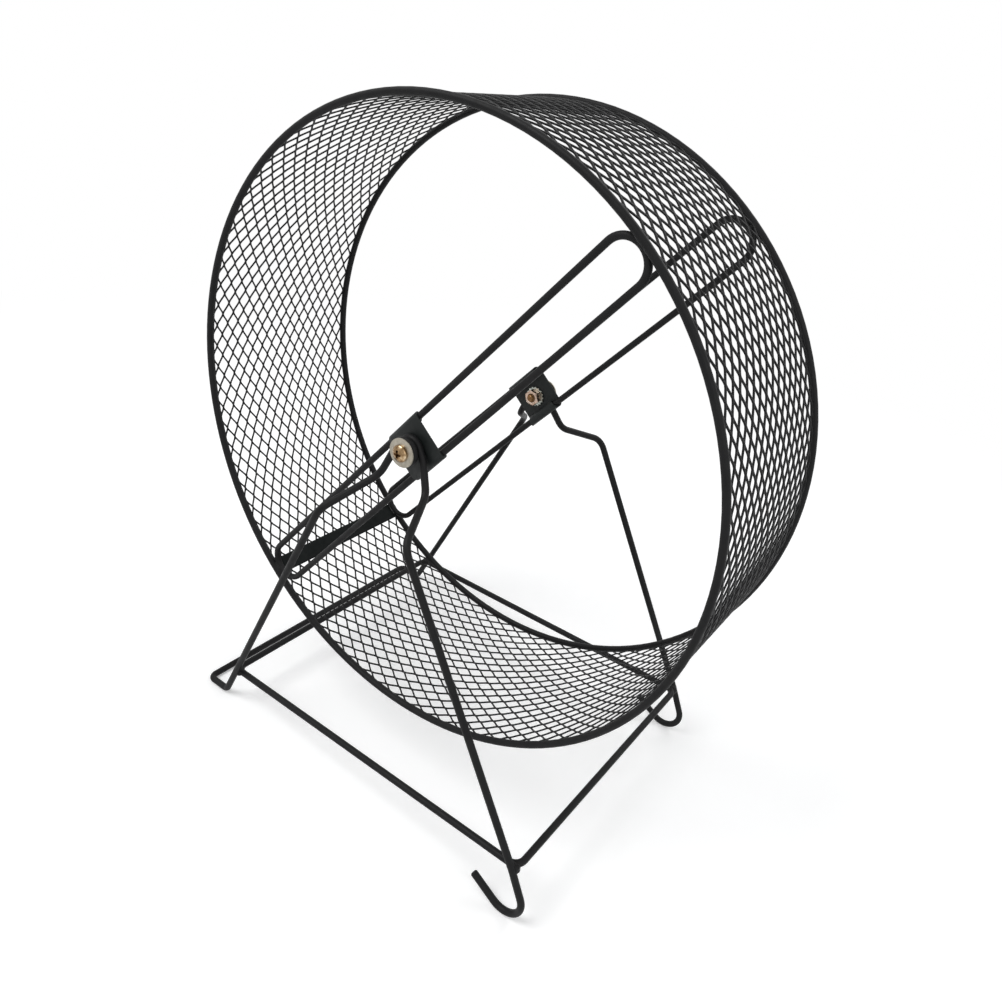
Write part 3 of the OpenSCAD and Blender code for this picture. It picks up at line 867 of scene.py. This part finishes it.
def floor_material():
    """Pale and faintly glowing near the object, plain white far away, where it is seen."""
    material, shader = new_material("floor_white")
    nodes, links = material.node_tree.nodes, material.node_tree.links
    shader.inputs["Base Color"].default_value = FLOOR_COLOUR
    shader.inputs["Roughness"].default_value = FLOOR_ROUGHNESS
    shader.inputs["Specular IOR Level"].default_value = FLOOR_GLOSS_LEVEL
    seen = seen_ray(nodes, links)
    glow = add_node(nodes, "ShaderNodeEmission", {"Color": WHITE})
    links.new(math_node(nodes, links, "MULTIPLY", seen, FLOOR_LIFT), glow.inputs["Strength"])
    near = nodes.new("ShaderNodeAddShader")
    links.new(shader.outputs["BSDF"], near.inputs[0])
    links.new(glow.outputs["Emission"], near.inputs[1])
    place = nodes.new("ShaderNodeTexCoord")
    away = nodes.new("ShaderNodeVectorMath")
    away.operation = "LENGTH"
    links.new(place.outputs["Object"], away.inputs[0])
    fade = add_node(nodes, "ShaderNodeMapRange", {"From Min": FLOOR_FADE[0], "From Max": FLOOR_FADE[1]})
    fade.interpolation_type = "SMOOTHSTEP"
    links.new(away.outputs["Value"], fade.inputs["Value"])
    white = add_node(nodes, "ShaderNodeEmission", {"Color": WHITE, "Strength": 1})
    far = nodes.new("ShaderNodeMixShader")
    links.new(math_node(nodes, links, "MULTIPLY", fade.outputs["Result"], seen), far.inputs["Fac"])
    links.new(near.outputs["Shader"], far.inputs[1])
    links.new(white.outputs["Emission"], far.inputs[2])
    output = next(node for node in nodes if node.type == "OUTPUT_MATERIAL")
    links.new(far.outputs["Shader"], output.inputs["Surface"])
    return material


def white_floor():
    """A wide floor that keeps a faint shadow and fades into the white of the room."""
    bm = bmesh.new()
    bmesh.ops.create_grid(bm, x_segments=1, y_segments=1, size=FLOOR_HALF)
    mesh = bpy.data.meshes.new("floor")
    bm.to_mesh(mesh)
    bm.free()
    mesh.materials.append(floor_material())
    floor = bpy.data.objects.new("floor", mesh)
    bpy.context.scene.collection.objects.link(floor)


def white_room():
    """A world that lights the object evenly and is white where it is seen."""
    world = bpy.data.worlds.new("room")
    bpy.context.scene.world = world
    world.use_nodes = True
    nodes, links = world.node_tree.nodes, world.node_tree.links
    nodes.clear()
    seen = add_node(nodes, "ShaderNodeBackground", {"Color": WHITE, "Strength": 1})
    light = add_node(nodes, "ShaderNodeBackground", {"Color": ROOM_TINT, "Strength": ROOM_LIGHT})
    mix = nodes.new("ShaderNodeMixShader")
    output = nodes.new("ShaderNodeOutputWorld")
    links.new(seen_ray(nodes, links), mix.inputs["Fac"])
    links.new(light.outputs["Background"], mix.inputs[1])
    links.new(seen.outputs["Background"], mix.inputs[2])
    links.new(mix.outputs["Shader"], output.inputs["Surface"])


def area_light(name, place, size, watts):
    """A round lamp at a place given from the hub, which it faces."""
    data = bpy.data.lights.new(name, "AREA")
    data.shape = "DISK"
    data.size = size
    data.energy = watts
    light = bpy.data.objects.new(name, data)
    light.location = hub + Vector(place)
    light.rotation_euler = (hub - light.location).to_track_quat("-Z", "Y").to_euler()
    bpy.context.scene.collection.objects.link(light)


def camera():
    """A camera fitted to the photograph."""
    data = bpy.data.cameras.new("camera")
    data.sensor_width = CAMERA_SENSOR
    data.lens = CAMERA_LENS
    data.shift_x, data.shift_y = CAMERA_SHIFT
    data.clip_start, data.clip_end = CAMERA_REACH
    view = bpy.data.objects.new("camera", data)
    back = Vector((math.sin(CAMERA_AZIMUTH) * math.cos(CAMERA_ELEVATION),
                   -math.cos(CAMERA_AZIMUTH) * math.cos(CAMERA_ELEVATION),
                   math.sin(CAMERA_ELEVATION)))
    level = Vector((math.cos(CAMERA_AZIMUTH), math.sin(CAMERA_AZIMUTH), 0))
    right = (Matrix.Rotation(CAMERA_ROLL, 3, back) @ level).normalized()
    up = back.cross(right)
    view.matrix_world = Matrix((
        (right.x, up.x, back.x, CAMERA_AT.x),
        (right.y, up.y, back.y, CAMERA_AT.y),
        (right.z, up.z, back.z, CAMERA_AT.z),
        (0, 0, 0, 1),
    ))
    bpy.context.scene.collection.objects.link(view)
    bpy.context.scene.camera = view


camera()
white_floor()
white_room()
area_light("key", place=(-0.8, -1.0, 1.7), size=1.2, watts=22)
area_light("fill", place=(1.5, -0.7, 0.8), size=1.4, watts=7)
area_light("rim", place=(0.4, 1.6, 1.3), size=1.2, watts=9)
bpy.context.scene.view_settings.view_transform = "Standard"

finish_nodes()
expanded_metal()
seam_strip()
spoke_welds()
corner_welds()
for side, name in ((-1, "near"), (1, "far")):
    hub_plate(side, name)
    bush(side, name)
    large_washer(side, name)
    screw(side, name)
    lock_washer(side, name)
    nut(side, name)
